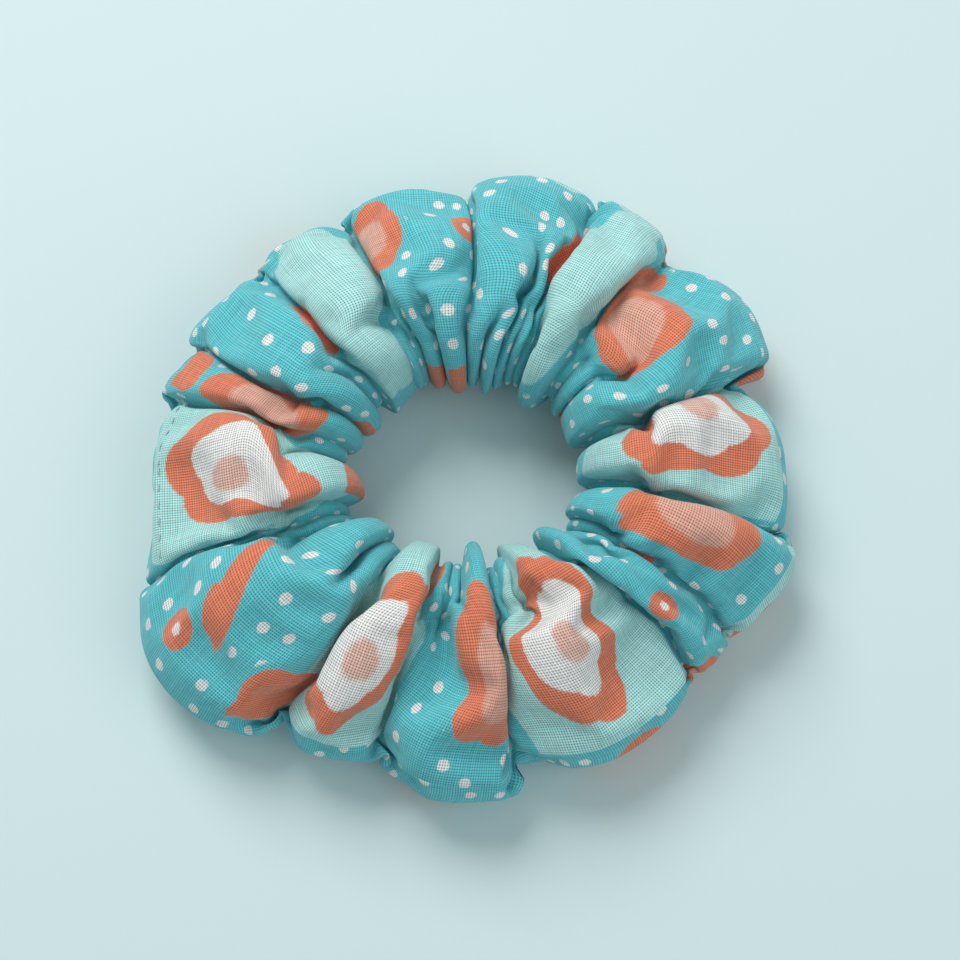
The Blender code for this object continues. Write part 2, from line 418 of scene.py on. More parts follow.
def puff_starts():
    """Where along the cloth the puffs start, in mm, and where the last one ends."""
    return np.concatenate([[0], np.cumsum(puff_lengths())])


def puff_valleys():
    """Angles of the valleys, in radians: one more than there are puffs."""
    widths = [puff.width for puff in PUFFS]
    return np.radians(FIRST_VALLEY + np.concatenate([[0], np.cumsum(widths)]))


def wandering(random, low, high):
    """A smooth closed curve of about -1 to 1 along the cover, with that many waves round it."""
    place = 2 * np.pi * np.arange(COLUMNS) / COLUMNS
    waves = [np.cos(count * place + random.uniform(0, 2 * np.pi)) for count in range(low, high)]
    return np.sum(waves, axis=0) / math.sqrt(len(waves))


# A row of the cloth. turn: as for ring_section. out: its way from the hole to the outer edge, from
# 0 to 1. side: 1 on top and -1 below. bulk: how far it is from both edges, from 0 to 1.
Row = namedtuple("Row", "turn out side bulk")


def tube_row(turn):
    out = (1 - math.cos(2 * math.pi * turn)) / 2
    return Row(turn, out, 1 if turn < 0.5 else -1, math.sin(math.pi * out))


def puff_row(index, row, wander):
    """One row of one puff: its columns, and their angles, radii and heights, in mm."""
    puff = PUFFS[index]
    drift = FOLD_WANDER * row.side * row.bulk
    start = puff_starts()[index] + drift * wander[index]
    length = puff_starts()[index + 1] + drift * wander[index + 1] - start
    along = (np.arange(COLUMNS) * COVER_LENGTH / COLUMNS - start) % COVER_LENGTH
    mine = along < length
    share = along[mine] / length

    width = math.radians(puff.width)
    valley = puff_valleys()[index]
    middle = valley + width / 2
    middle_r, _ = ring_section(row.turn, hole_radius(middle), outline_radius(puff, 0.5))
    across, below = fold_curve(puff, row.out, min(width * middle_r / length, MOST_FILL))
    room = fold_room(puff, middle, row)
    below *= length
    below *= min(1.0, room / below.max())
    steps = np.linspace(0, 1, len(across))
    place = np.interp(share, steps, across)
    depth = np.interp(share, steps, below)
    next_gap = PUFFS[(index + 1) % len(PUFFS)].gap
    depth *= 1 - (1 - puff.gap - (next_gap - puff.gap) * place) * row.out**2

    crown = 4 * place * (1 - place)
    slant = wander[index] + (wander[index + 1] - wander[index]) * place
    angle = valley + width * place + FOLD_SLANT * slant * (row.out - 0.5)
    tilt = LEAN_REACH * puff.lean * row.side * row.bulk**0.5
    angle += tilt * (room - depth) * crown / middle_r
    outer = outline_radius(puff, place)
    radius, height = ring_section(row.turn, hole_radius(angle), outer)
    normal_r, normal_z = section_normals(row.turn, hole_radius(angle), outer)
    sunk = depth + puff.sink * (RIM_SINK + (1 - RIM_SINK) * row.out) * crown
    return mine, angle, radius - normal_r * sunk, height - normal_z * sunk


def folded_cover():
    """The cover's points, in metres, by column round the ring and row round the tube."""
    random = np.random.default_rng(SEED)
    wander = random.uniform(-1, 1, len(PUFFS))
    wander = np.append(wander, wander[0])
    rim_in = RIM_WANDER * wandering(random, 12, 30)
    rim_up = RIM_WANDER * wandering(random, 9, 24)
    points = np.zeros((COLUMNS, ROWS, 3))
    for number, turn in enumerate(even_turns(ROWS)):
        row = tube_row(turn)
        near_rim = (1 - float(smooth_step(row.out / RIM_BAND))) ** 2
        for index in range(len(PUFFS)):
            mine, angle, radius, height = puff_row(index, row, wander)
            radius += rim_in[mine] * near_rim
            height += rim_up[mine] * near_rim
            points[mine, number, 0] = radius * np.cos(angle)
            points[mine, number, 1] = radius * np.sin(angle)
            points[mine, number, 2] = np.maximum(height, FLOOR_GAP / 2)
    points = (np.roll(points, 1, 0) + 2 * points + np.roll(points, -1, 0)) / 4
    return points * MM


# ---- cloth simulation ----


def grid_faces(columns, rows):
    """Four-sided faces over a grid of points that is closed both ways."""
    column = np.arange(columns)[:, None]
    row = np.arange(rows)[None]
    here = column * rows + row
    beside = ((column + 1) % columns) * rows + row
    across = ((column + 1) % columns) * rows + (row + 1) % rows
    below = column * rows + (row + 1) % rows
    return np.stack([here, below, across, beside], -1).reshape(-1, 4)


def add_collider(name, mesh):
    collider = add_object(name, mesh)
    collider.modifiers.new("collision", "COLLISION")
    collider.collision.thickness_outer = 0.005
    collider.collision.cloth_friction = 5
    return collider


def evaluated_points(obj):
    graph = bpy.context.evaluated_depsgraph_get()
    evaluated = obj.evaluated_get(graph)
    mesh = evaluated.to_mesh()
    flat = np.empty(len(mesh.vertices) * 3, np.float32)
    mesh.vertices.foreach_get("co", flat)
    evaluated.to_mesh_clear()
    return flat.reshape(-1, 3).astype(float)


def rim_shares():
    """How firmly each row of the tube keeps its place: 1 at the hole's edge, 0 away from it."""
    out = (1 - np.cos(2 * np.pi * even_turns(ROWS))) / 2
    return 1 - smooth_step((out - SIM_RIM[0]) / (SIM_RIM[1] - SIM_RIM[0]))


CLOTH_SETTINGS = {
    "quality": 6,
    "mass": 0.3,
    "air_damping": 2.0,
    "bending_model": "ANGULAR",
    "tension_stiffness": 15,
    "compression_stiffness": 15,
    "shear_stiffness": 5,
    "bending_stiffness": 6,
    "tension_damping": 10,
    "compression_damping": 10,
    "shear_damping": 5,
    "bending_damping": 0.5,
    "vertex_group_mass": "rim",
    "shrink_min": -SIM_SWELL,
    "use_pressure": True,
    "uniform_pressure_force": 0.5,
}
COLLISION_SETTINGS = {
    "distance_min": 0.004,
    "use_self_collision": True,
    "self_distance_min": 0.004,
    "self_friction": 5,
    "collision_quality": 3,
}


def add_sim_cover(start):
    """The cover as the solver sees it, with the rows that keep their places in a vertex group."""
    mesh = bpy.data.meshes.new("sim_cover")
    points = (start * SIM_SCALE).reshape(-1, 3)
    mesh.from_pydata(points.tolist(), [], grid_faces(COLUMNS, ROWS).tolist())
    cloth = add_object("sim_cover", mesh)
    rim = cloth.vertex_groups.new(name="rim")
    for row, share in enumerate(rim_shares()):
        hold = SIM_EDGE_HOLD if row == ROWS // 2 else share
        if hold > 0:
            rim.add([c * ROWS + row for c in range(COLUMNS)], float(hold), "REPLACE")
    return cloth


def add_cloth_physics(cloth):
    modifier = cloth.modifiers.new("cloth", "CLOTH")
    for name, value in CLOTH_SETTINGS.items():
        setattr(modifier.settings, name, value)
    modifier.settings.effector_weights.gravity = 0.5
    for name, value in COLLISION_SETTINGS.items():
        setattr(modifier.collision_settings, name, value)
    modifier.point_cache.frame_start = 1
    modifier.point_cache.frame_end = SIM_FRAMES


def settle_cloth(start):
    """Lets the folded cover relax: it swells a little, buckles, sags and comes to rest.

    The gathers at the hole, which lie close round the elastic, keep their places.
    """
    scene = bpy.context.scene
    cloth = add_sim_cover(start)
    floor = add_collider("sim_floor", square_mesh("sim_floor", SIM_FLOOR))
    add_cloth_physics(cloth)
    for number in range(1, SIM_FRAMES + 1):
        scene.frame_set(number)
    settled = evaluated_points(cloth).reshape(start.shape) / SIM_SCALE
    for helper in (cloth, floor):
        bpy.data.objects.remove(helper, do_unlink=True)
    scene.frame_set(1)
    move = settled - start
    length = np.linalg.norm(move, axis=2, keepdims=True)
    move *= np.minimum(1.0, SIM_MOST_MOVE * MM / np.maximum(length, 1e-9))
    return start + move * (1 - rim_shares())[None, :, None]


# ---- grids of points ----


def refined(grid, axis):
    """Twice as many points along a closed axis, as a cubic spline surface would place them."""
    before = np.roll(grid, 1, axis)
    after = np.roll(grid, -1, axis)
    even = (before + 6 * grid + after) / 8
    odd = (grid + after) / 2
    shape = list(grid.shape)
    shape[axis] *= 2
    return np.stack([even, odd], axis + 1).reshape(shape)


def grid_normals(grid):
    """Directions out of the tube at every point."""
    along = np.roll(grid, -1, 0) - np.roll(grid, 1, 0)
    round_tube = np.roll(grid, -1, 1) - np.roll(grid, 1, 1)
    return unit(np.cross(round_tube, along))


def sweep(name, rings, closed=False):
    """A mesh through rings of points that run anticlockwise, seen from the path's far end."""
    rings = np.asarray(rings)
    count, size = rings.shape[:2]
    faces = grid_faces(count, size).tolist()
    if not closed:
        del faces[(count - 1) * size :]
        faces.append(list(range(size))[::-1])
        faces.append(list(range((count - 1) * size, count * size)))
    mesh = bpy.data.meshes.new(name)
    mesh.from_pydata(rings.reshape(-1, 3).tolist(), [], faces)
    mesh.shade_smooth()
    mesh.set_sharp_from_angle(angle=math.radians(50))
    return mesh


def thread_rings(path, normals, closed=False):
    """Circles of points round a path. normals are across the path."""
    if closed:
        tangent = np.roll(path, -1, 0) - np.roll(path, 1, 0)
    else:
        tangent = np.gradient(path, axis=0)
    tangent = unit(tangent)
    side = unit(np.cross(tangent, normals))
    up = np.cross(side, tangent)
    turn = np.linspace(0, 2 * np.pi, THREAD_SIDES, endpoint=False)[None, :, None]
    circle = np.cos(turn) * up[:, None] + np.sin(turn) * side[:, None]
    return path[:, None] + THREAD_RADIUS * MM * circle


def add_piece(mesh, material):
    piece = add_object(mesh.name, mesh)
    mesh.materials.append(material)
    return piece


# ---- the printed design ----

# puff: which puff. across and out: where on it, as for creases; out is below 0 on the underside.
# size: half the motif's width in mm. tall: how much longer it is from the hole outwards.
Motif = namedtuple("Motif", "kind puff across out size tall")
MOTIFS = (
    Motif("cloud_blossom", 0, 0.50, 0.62, 10.4, 1.30),
    Motif("stem", 1, 0.42, 0.66, 2.5, 3.4),
    Motif("spot", 1, 0.38, 0.90, 3.0, 1.0),
    Motif("coral", 1, 0.88, 0.90, 6.5, 1.1),
    Motif("cloud_blossom", 2, 0.46, 0.64, 9.6, 1.50),
    Motif("pink_blossom", 2, 0.93, 0.14, 5.0, 1.6),
    Motif("pink_blossom", 3, 0.64, 0.60, 8.0, 1.50),
    Motif("cloud_blossom", 4, 0.54, 0.60, 9.6, 1.55),
    Motif("spot", 5, 0.50, 0.72, 2.9, 1.0),
    Motif("coral", 5, 0.92, 0.52, 3.6, 1.3),
    Motif("pink_blossom", 6, 0.52, 0.60, 7.4, 1.50),
    Motif("cloud_blossom", 7, 0.56, 0.65, 10.0, 1.40),
    Motif("pink_blossom", 8, 0.72, 0.60, 8.2, 1.15),
    Motif("coral", 8, 0.94, 0.84, 5.0, 1.2),
    Motif("cloud", 9, 0.45, 0.60, 9.0, 2.3),
    Motif("coral", 9, 0.97, 0.70, 5.5, 1.4),
    Motif("spot", 10, 0.88, 0.86, 2.8, 1.0),
    Motif("spot", 11, 0.25, 0.76, 3.2, 1.0),
    Motif("pink_blossom", 11, 0.82, 0.80, 7.0, 1.2),
    Motif("coral", 11, 0.20, 0.08, 3.4, 1.3),
    Motif("cloud", 12, 0.52, 0.55, 10.5, 2.1),
    Motif("coral", 12, 0.98, 0.58, 4.8, 1.5),
    Motif("pink_blossom", 13, 0.84, 0.54, 9.4, 1.30),
    Motif("coral", 13, 0.76, 0.95, 5.0, 1.0),
    Motif("coral", 13, 0.50, 0.06, 3.6, 1.2),
)
MOTIF_KINDS = ("cloud_blossom", "pink_blossom", "spot", "stem", "coral")
PRINT_FIELDS = ("mint", "coral", "white", "pink")
FAR_OUTSIDE = -20.0
BLUNTNESS = 2.15
CLOUD_MARGIN = 8.5


def lobed(along, over, size, tall, lobes, depth, turn):
    """Distance in mm inside the edge of a blunt oval with round lobes, negative outside it."""
    out = over / tall
    angle = np.arctan2(out, along)
    scallop = 2 * np.abs(np.cos(lobes * angle / 2 + turn)) - 4 / np.pi
    wave = depth * (scallop + 0.4 * np.cos(2 * angle - turn))
    reach = (np.abs(along) ** BLUNTNESS + np.abs(out) ** BLUNTNESS) ** (1 / BLUNTNESS)
    return size * (1 + wave) - reach


def motif_fields(motif, along, over, turn):
    """Which inks a motif prints, and how far inside each ink's edge every point is."""
    size, tall = motif.size, motif.tall

    def blob(share, lobes, depth, turned=0.0):
        return lobed(along, over, size * share, tall, lobes, depth, turn + turned)

    if motif.kind == "cloud_blossom":
        eye = (along - size * 0.15, over - size * 0.1, size * 0.26)
        return {
            "mint": lobed(along, over, size + CLOUD_MARGIN, tall, 4, 0.06, turn),
            "coral": blob(1.0, 6, 0.07),
            "white": blob(0.64, 5, 0.08, turned=0.3),
            "pink": lobed(*eye, 1.3, 3, 0.08, turn),
        }
    if motif.kind == "pink_blossom":
        return {"coral": blob(1.04, 5, 0.07), "pink": blob(0.60, 3, 0.06)}
    if motif.kind == "spot":
        return {"coral": blob(1.0, 3, 0.03), "white": blob(0.32, 3, 0.05)}
    if motif.kind == "stem":
        leaning = along - 0.6 * over
        stem = lobed(leaning, over, size, tall, 2, 0.05, turn)
        bud = lobed(leaning + size * 0.9, over - size * 1.9, size * 0.85, 1.3, 3, 0.06, turn)
        return {"coral": np.maximum(stem, bud)}
    if motif.kind == "cloud":
        return {"mint": blob(1.0, 4, 0.08)}
    return {"coral": blob(1.0, 4, 0.10)}


def underside_motifs(random):
    """The same sorts of motif scattered over the side that faces the table."""
    found = []
    for puff in range(len(PUFFS)):
        kind = MOTIF_KINDS[int(random.integers(len(MOTIF_KINDS)))]
        size = 3.0 if kind == "spot" else random.uniform(7.0, 11.0)
        place = random.uniform(0.2, 0.8)
        out = -random.uniform(0.45, 0.75)
        found.append(Motif(kind, puff, place, out, size, random.uniform(1.0, 1.3)))
    return found


def print_fields(columns, rows):
    """Each ink's distance field over the cloth's grid, in mm."""
    random = np.random.default_rng(SEED + 1)
    lengths = puff_lengths()
    starts = puff_starts()
    along_cloth = np.arange(columns)[:, None] * COVER_LENGTH / columns
    across_cloth = np.arange(rows)[None] * COVER_GIRTH / rows
    half = COVER_GIRTH / 2
    across_cloth = np.where(across_cloth > half, across_cloth - COVER_GIRTH, across_cloth)
    fields = {name: np.full((columns, rows), FAR_OUTSIDE) for name in PRINT_FIELDS}
    for motif in [*MOTIFS, *underside_motifs(random)]:
        centre = starts[motif.puff] + lengths[motif.puff] * motif.across
        along = (along_cloth - centre + COVER_LENGTH / 2) % COVER_LENGTH - COVER_LENGTH / 2
        over = across_cloth - motif.out * half
        turn = random.uniform(0, 2 * np.pi)
        for ink, inside in motif_fields(motif, along, over, turn).items():
            fields[ink] = np.maximum(fields[ink], inside)
    return fields


# ---- cutting the cover into pieces ----

# The settled cover: its points and their outward directions, by column and row, the columns where
# it is cut, and the band over each piece's valley.
Cloth = namedtuple("Cloth", "surface normals cuts bands")


def cut_columns(surface):
    """The first and last columns of each piece: from the join, by the crowns, back to the join.

    A crown is cut at the column that is furthest from the valleys at both ends of its puff.
    """
    scale = len(surface) / COVER_LENGTH
    lengths = puff_lengths() * scale
    starts = puff_starts() * scale
    valleys = puff_valleys()
    join_place = (JOIN_ANGLE - FIRST_VALLEY) / PUFFS[0].width
    cuts = [round(lengths[0] * join_place)]
    for index in range(1, len(PUFFS)):
        first, last = starts[index] + lengths[index] * np.array(CUT_SEARCH)
        column = np.arange(round(first), round(last))
        after = (surface[column] @ onward(valleys[index])).min(axis=1)
        before = -(surface[column] @ onward(valleys[index + 1])).max(axis=1)
        cuts.append(int(column[np.argmax(np.minimum(after, before))]))
    return [*cuts, cuts[0] + len(surface)]


def valley_bands(fixed_ends):
    """For each piece, two points that mark a band over its valley.

    fixed_ends holds each piece's points before and after the valley. The band is as wide as it can
    be with both of them outside it.
    """
    bands = []
    for (before, after), valley in zip(fixed_ends, puff_valleys()[1:]):
        way = onward(valley)
        half = BAND_SHARE * min(-(before @ way).max(), (after @ way).min())
        assert half > 0, "a piece's fixed end lies across its valley"
        middle = hole_radius(valley) * MM * outward(valley)
        bands.append((Vector(middle - way * half), Vector(middle + way * half)))
    return bands


def bend(piece):
    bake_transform(piece)


def place_length(piece, index, family, length):
    """Puts a piece in the place of its length of the frame, and the last one of the finish too."""
    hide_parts(f"{family}_start" if index == 0 else f"{length}_{index + 1:02d}")
    if index == len(PUFFS) - 1:
        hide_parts(f"{family}_finish")
    bend(piece)


def shell_faces(count, rows):
    """The faces of a shell from two layers of count by rows points, the outer layer first.

    The outer layer's faces come first, then the inner layer's, then those that close the ends.
    """
    column = np.repeat(np.arange(count - 1), rows)
    row = np.tile(np.arange(rows), count - 1)
    corners = ((0, 0), (0, 1), (1, 1), (1, 0))
    outside = np.stack([(column + c) * rows + (row + r) % rows for c, r in corners], -1)
    inner_start = count * rows
    inside = outside[:, ::-1] + inner_start
    edge = np.arange(rows)
    after = (edge + 1) % rows
    end = (count - 1) * rows
    front = np.stack([after, edge, inner_start + edge, inner_start + after], -1)
    back = np.stack([edge, after, inner_start + after, inner_start + edge], -1) + end
    return np.concatenate([outside, inside, front, back])


def shell_places(first, count, columns, rows):
    """Where on the cloth, in mm, each corner of shell_faces lies. The long seam is at row 0."""
    column = np.repeat(np.arange(count - 1), rows)
    row = np.tile(np.arange(rows), count - 1)
    u_size = COVER_LENGTH / columns
    v_size = COVER_GIRTH / rows
    seam_row = (row + rows // 2) % rows
    near = np.stack([(first + column) * u_size, seam_row * v_size], -1)
    corners = np.array([(0, 0), (0, v_size), (u_size, v_size), (u_size, 0)])
    places = near[:, None] + corners[None]
    ends = np.zeros((2 * rows, 4, 2))
    return np.concatenate([places, places[:, ::-1], ends])


def cover_piece_mesh(index, cloth, fields):
    """A length of the cover as a thin closed shell, with its place on the cloth as its UV map."""
    first, last = cloth.cuts[index : index + 2]
    columns, rows = cloth.surface.shape[:2]
    picked = np.arange(first, last + 1) % columns
    middle = cloth.surface[picked]
    if index == 0:
        middle[0] += (middle[1] - middle[0]) * JOIN_GAP
    if index == len(PUFFS) - 1:
        middle[-1] += (middle[-2] - middle[-1]) * JOIN_GAP
    normals = cloth.normals[picked]
    half = normals * CLOTH_THICKNESS * MM / 2
    points = np.concatenate([middle + half, middle - half]).reshape(-1, 3)
    faces = shell_faces(len(picked), rows)
    uvs = shell_places(first, len(picked), columns, rows)

    mesh = bpy.data.meshes.new(f"cover_cloth_{index + 1:02d}")
    mesh.from_pydata(points.tolist(), [], faces.tolist())
    mesh.uv_layers.new(name="cloth")
    mesh.uv_layers["cloth"].data.foreach_set("uv", uvs.reshape(-1))
    for ink, field in fields.items():
        attribute = mesh.attributes.new(ink, "FLOAT", "POINT")
        values = field[picked].reshape(-1)
        attribute.data.foreach_set("value", np.concatenate([values, values]).astype(np.float32))
    mesh.shade_smooth()
    shading = np.concatenate([normals, -normals]).reshape(-1, 3)
    mesh.normals_split_custom_set_from_vertices(shading.tolist())
    return mesh


def add_cover(cloth, material):
    fields = print_fields(*cloth.surface.shape[:2])
    for index in range(len(PUFFS)):
        piece = add_piece(cover_piece_mesh(index, cloth, fields), material)
        place_length(piece, index, "cover", "cover_puff")


# ---- the elastic and the threads ----


def elastic_ring(angle):
    """The band's section at one angle, ribbed along its length as braided elastic is.

    From one end of its lap to the other it moves out by more than its thickness, to lie over its
    own start.
    """
    open_length = LAP_START + 2 * math.pi - LAP_END
    travelled = min(max((angle - LAP_END) / open_length, 0.0), 1.0)
    middle = elastic_radius(angle) + (ELASTIC_THICKNESS + LAP_GAP) * travelled
    across = np.linspace(-1, 1, 4 * ELASTIC_RIBS + 1)
    ribs = RIB_DEPTH * (1 + np.cos(across * ELASTIC_RIBS * np.pi)) / 2
    thickness = 1 - RIB_DEPTH + ribs - EDGE_THINNING * across**6
    depth = ELASTIC_THICKNESS / 2 * np.concatenate([thickness, -thickness[::-1]])
    height = ELASTIC_WIDTH / 2 * np.concatenate([across[::-1], across])
    points = (middle + depth)[:, None] * outward(angle)
    points[:, 2] = MID_HEIGHT + height
    return points * MM


def add_elastic(material):
    """One band of elastic, lapped over itself at the join, and cut at the puffs' middles."""
    valleys = puff_valleys()
    centres = (valleys[:-1] + valleys[1:]) / 2
    ends = [LAP_START, *centres[1:], LAP_END + 2 * math.pi]
    fixed = [LAP_END, *centres[1:], LAP_START + 2 * math.pi]
    rings = [elastic_ring(angle) for angle in fixed]
    bands = valley_bands(zip(rings[:-1], rings[1:]))
    for index in range(len(PUFFS)):
        steps = max(4, round(math.degrees(ends[index + 1] - ends[index]) / RING_STEP))
        angles = np.linspace(ends[index], ends[index + 1], steps + 1)
        rings = [elastic_ring(angle) for angle in angles]
        name = f"elastic_band_{index + 1:02d}"
        piece = add_piece(sweep(name, rings), material)
        place_length(piece, index, "elastic", "elastic_length")


def row_path(cloth, row, first, last, density, offset):
    """Points along a row of the cloth, offset from it by a function of the distance along."""
    columns = len(cloth.surface)
    steps = np.linspace(first, last, round((last - first) * density) + 1)
    low = np.floor(steps).astype(int)
    share = (steps - low)[:, None]

    def between_columns(grid):
        return grid[low % columns, row] * (1 - share) + grid[(low + 1) % columns, row] * share

    up = unit(between_columns(cloth.normals))
    lift = offset(steps * COVER_LENGTH / columns)
    return between_columns(cloth.surface) + up * lift[:, None] * MM, up


def seam_offset(cloth):
    """The long seam's thread lies inside the tube, rising and dipping stitch by stitch."""
    return SEAM_WAVE * np.cos(2 * np.pi * cloth / STITCH_LENGTH) - SEAM_INSET


def topstitch_offset(cloth):
    """The closing stitch stands on the cloth for most of each stitch and dips through between."""
    wave = np.cos(2 * np.pi * cloth / STITCH_LENGTH)
    return TOPSTITCH_WAVE * np.sign(wave) * np.sqrt(np.abs(wave))


def add_row_thread(name, cloth, row, ends, density, offset, material):
    rings = thread_rings(*row_path(cloth, row, *ends, density, offset))
    return add_piece(sweep(name, rings), material)


def add_seam_thread(cloth, material):
    row = cloth.surface.shape[1] // 2
    for index in range(len(PUFFS)):
        name = f"long_seam_thread_{index + 1:02d}"
        ends = cloth.cuts[index : index + 2]
        piece = add_row_thread(name, cloth, row, ends, 1, seam_offset, material)
        place_length(piece, index, "seam_thread", "seam_thread")


def add_closing_stitch(cloth, material):
    """The topstitch near the first puff's outer edge, in two lengths that meet at the join."""
    columns, rows = cloth.surface.shape[:2]
    row = rows // 2 - round(TOPSTITCH_INSET * rows / COVER_GIRTH)
    reach = round(TOPSTITCH_SHARE * puff_lengths()[0] * columns / COVER_LENGTH)
    first, last = cloth.cuts[0], cloth.cuts[-1]
    lengths = ((1, 0, (first, first + reach)), (2, len(PUFFS) - 1, (last - reach, last)))
    for number, index, ends in lengths:
        name = f"closing_topstitch_{number}"
        piece = add_row_thread(
            name, cloth, row, ends, 4, topstitch_offset, material
        )
        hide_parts("closing_stitch")
        bend(piece)


def add_cross_seam(cloth, material):
    """The thread that joins the cover's two ends, round the inside of the tube."""
    join = cloth.cuts[0]
    up = cloth.normals[join]
    path = cloth.surface[join] - up * SEAM_INSET * MM
    mesh = sweep("cross_seam_thread", thread_rings(path, up, closed=True), closed=True)
    piece = add_piece(mesh, material)
    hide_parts("cross_seam_stitch")
    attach(piece, BODIES[0])


def colour_join_stitch(material):
    """The stitch through the elastic's lap keeps its shape from the frame."""
    stitch = frame["nodes"]["elastic_join_stitch"]
    stitch.data.materials.clear()
    stitch.data.materials.append(material)


# ---- materials ----


def colour(red, green, blue):
    """A linear colour from screen values of 0 to 255."""
    linear = []
    for value in (red, green, blue):
        share = value / 255
        linear.append(share / 12.92 if share <= 0.04045 else ((share + 0.055) / 1.055) ** 2.4)
    return (*linear, 1.0)


TEAL = colour(99, 200, 210)
MINT = colour(178, 229, 227)
CORAL = colour(232, 132, 100)
PINK = colour(232, 178, 160)
WHITE = colour(240, 238, 236)


class Graph:
    """Short ways to add and join shader nodes."""

    def __init__(self, name):
        self.material = bpy.data.materials.new(name)
        self.material.use_nodes = True
        self.tree = self.material.node_tree
        self.shader = self.tree.nodes["Principled BSDF"]

    def put(self, socket, value):
        if isinstance(value, bpy.types.NodeSocket):
            self.tree.links.new(value, socket)
        else:
            socket.default_value = value

    def node(self, kind, **inputs):
        """A new shader node. An input's name has _ where Blender's has a space."""
        node = self.tree.nodes.new(f"ShaderNode{kind}")
        for name, value in inputs.items():
            self.put(node.inputs[name.replace("_", " ")], value)
        return node

    def math(self, operation, *values):
        node = self.node("Math")
        node.operation = operation
        for socket, value in zip(node.inputs, values):
            self.put(socket, value)
        return node.outputs[0]

    def ramp(self, value, low, high, out_low=0.0, out_high=1.0):
        """A smooth step from out_low to out_high while the value goes from low to high."""
        node = self.node("MapRange", Value=value, From_Min=low, From_Max=high)
        node.interpolation_type = "SMOOTHSTEP"
        self.put(node.inputs["To Min"], out_low)
        self.put(node.inputs["To Max"], out_high)
        return node.outputs[0]

    def mix(self, factor, first, second, blend_type="MIX"):
        node = self.node("Mix")
        node.data_type = "RGBA"
        node.blend_type = blend_type
        self.put(node.inputs[0], factor)
        self.put(node.inputs[6], first)
        self.put(node.inputs[7], second)
        return node.outputs[2]

    def attribute(self, name):
        node = self.node("Attribute")
        node.attribute_name = name
        return node.outputs["Fac"]

    def cloth_place(self):
        """How far along and across the cloth a point is, in mm."""
        node = self.node("UVMap")
        node.uv_map = "cloth"
        split = self.node("SeparateXYZ", Vector=node.outputs[0])
        return split.outputs[0], split.outputs[1]

    def vector(self, x, y, z=0.0):
        return self.node("CombineXYZ", X=x, Y=y, Z=z).outputs[0]

    def noise(self, vector, scale, detail=2.0):
        return self.node("TexNoise", Vector=vector, Scale=scale, Detail=detail).outputs[0]

    def streaks(self, across, lengthwise, layer):
        """Noise drawn out along the yarns of one direction."""
        fine = self.math("MULTIPLY", across, 1 / YARN_PITCH)
        drawn = self.math("MULTIPLY", lengthwise, 1 / SLUB_LENGTH)
        return self.noise(self.vector(fine, drawn, layer), 1.0)

    def waves(self, direction, size, distortion):
        """Soft bands across one of the object's directions. More size makes them wider."""
        place = self.node("TexCoord").outputs["Object"]
        node = self.node("TexWave", Vector=place, Scale=1 / (size * MM), Distortion=distortion)
        node.bands_direction = direction
        return node.outputs[1]

    def surface(self, shade, roughness, sheen=0.0):
        self.put(self.shader.inputs["Base Color"], shade)
        self.put(self.shader.inputs["Roughness"], roughness)
        self.put(self.shader.inputs["Sheen Weight"], sheen)

    def bump(self, height, distance, strength):
        node = self.node("Bump", Height=height, Distance=distance, Strength=strength)
        self.put(self.shader.inputs["Normal"], node.outputs[0])


def plain_weave(graph, warp, weft):
    """(height from 0 to 1, gap from 0 to 1) of a plain weave at a place on the cloth, in yarns."""
    cells = graph.math("ADD", graph.math("FLOOR", warp), graph.math("FLOOR", weft))
    parity = graph.math("FLOORED_MODULO", cells, 2.0)

    def from_centre(yarns):
        off = graph.math("SUBTRACT", graph.math("FRACT", yarns), 0.5)
        return graph.math("MULTIPLY", graph.math("ABSOLUTE", off), 2.0)

    warp_off = graph.math("POWER", from_centre(warp), 2.0)
    weft_off = graph.math("POWER", from_centre(weft), 2.0)
    warp_round = graph.math("SUBTRACT", 1.0, warp_off)
    weft_round = graph.math("SUBTRACT", 1.0, weft_off)
    difference = graph.math("SUBTRACT", weft_round, warp_round)
    top = graph.math("MULTIPLY_ADD", difference, parity, warp_round)
    length = graph.math("SUBTRACT", graph.math("ADD", warp_round, weft_round), top)
    crown = graph.math("MULTIPLY_ADD", length, 0.5, 0.5)
    height = graph.math("MULTIPLY", top, crown)
    gap = graph.ramp(graph.math("MULTIPLY", warp_off, weft_off), 0.10, 0.50)
    return height, gap


def yarn_raggedness(graph, warp, weft):
    """How far each yarn crossing shifts an ink's edge, because ink follows the yarns."""
    yarns = graph.vector(graph.math("FLOOR", warp), graph.math("FLOOR", weft))
    cell = graph.node("TexWhiteNoise", Vector=yarns)
    cell.noise_dimensions = "2D"
    return graph.math("MULTIPLY", graph.math("SUBTRACT", cell.outputs[0], 0.5), RAGGED)


def printed_dots(graph, place, ragged):
    """Where the teal ground has its nearly evenly spaced dots, clear of the mint and the coral."""
    cells = graph.node("TexVoronoi", Vector=place, Scale=1 / DOT_PITCH, Randomness=0.60)
    cells.voronoi_dimensions = "2D"
    distance = graph.math("MULTIPLY", cells.outputs["Distance"], DOT_PITCH)
    edge = graph.math("MULTIPLY_ADD", ragged, 0.6, distance)
    dot = graph.ramp(edge, DOT_RADIUS - DOT_SOFT, DOT_RADIUS + DOT_SOFT, 1.0, 0.0)
    near, far = DOT_CLEARANCE
    for ink in ("coral", "mint"):
        clear = graph.ramp(graph.attribute(ink), -far, -near, 1.0, 0.0)
        dot = graph.math("MULTIPLY", dot, clear)
    return dot


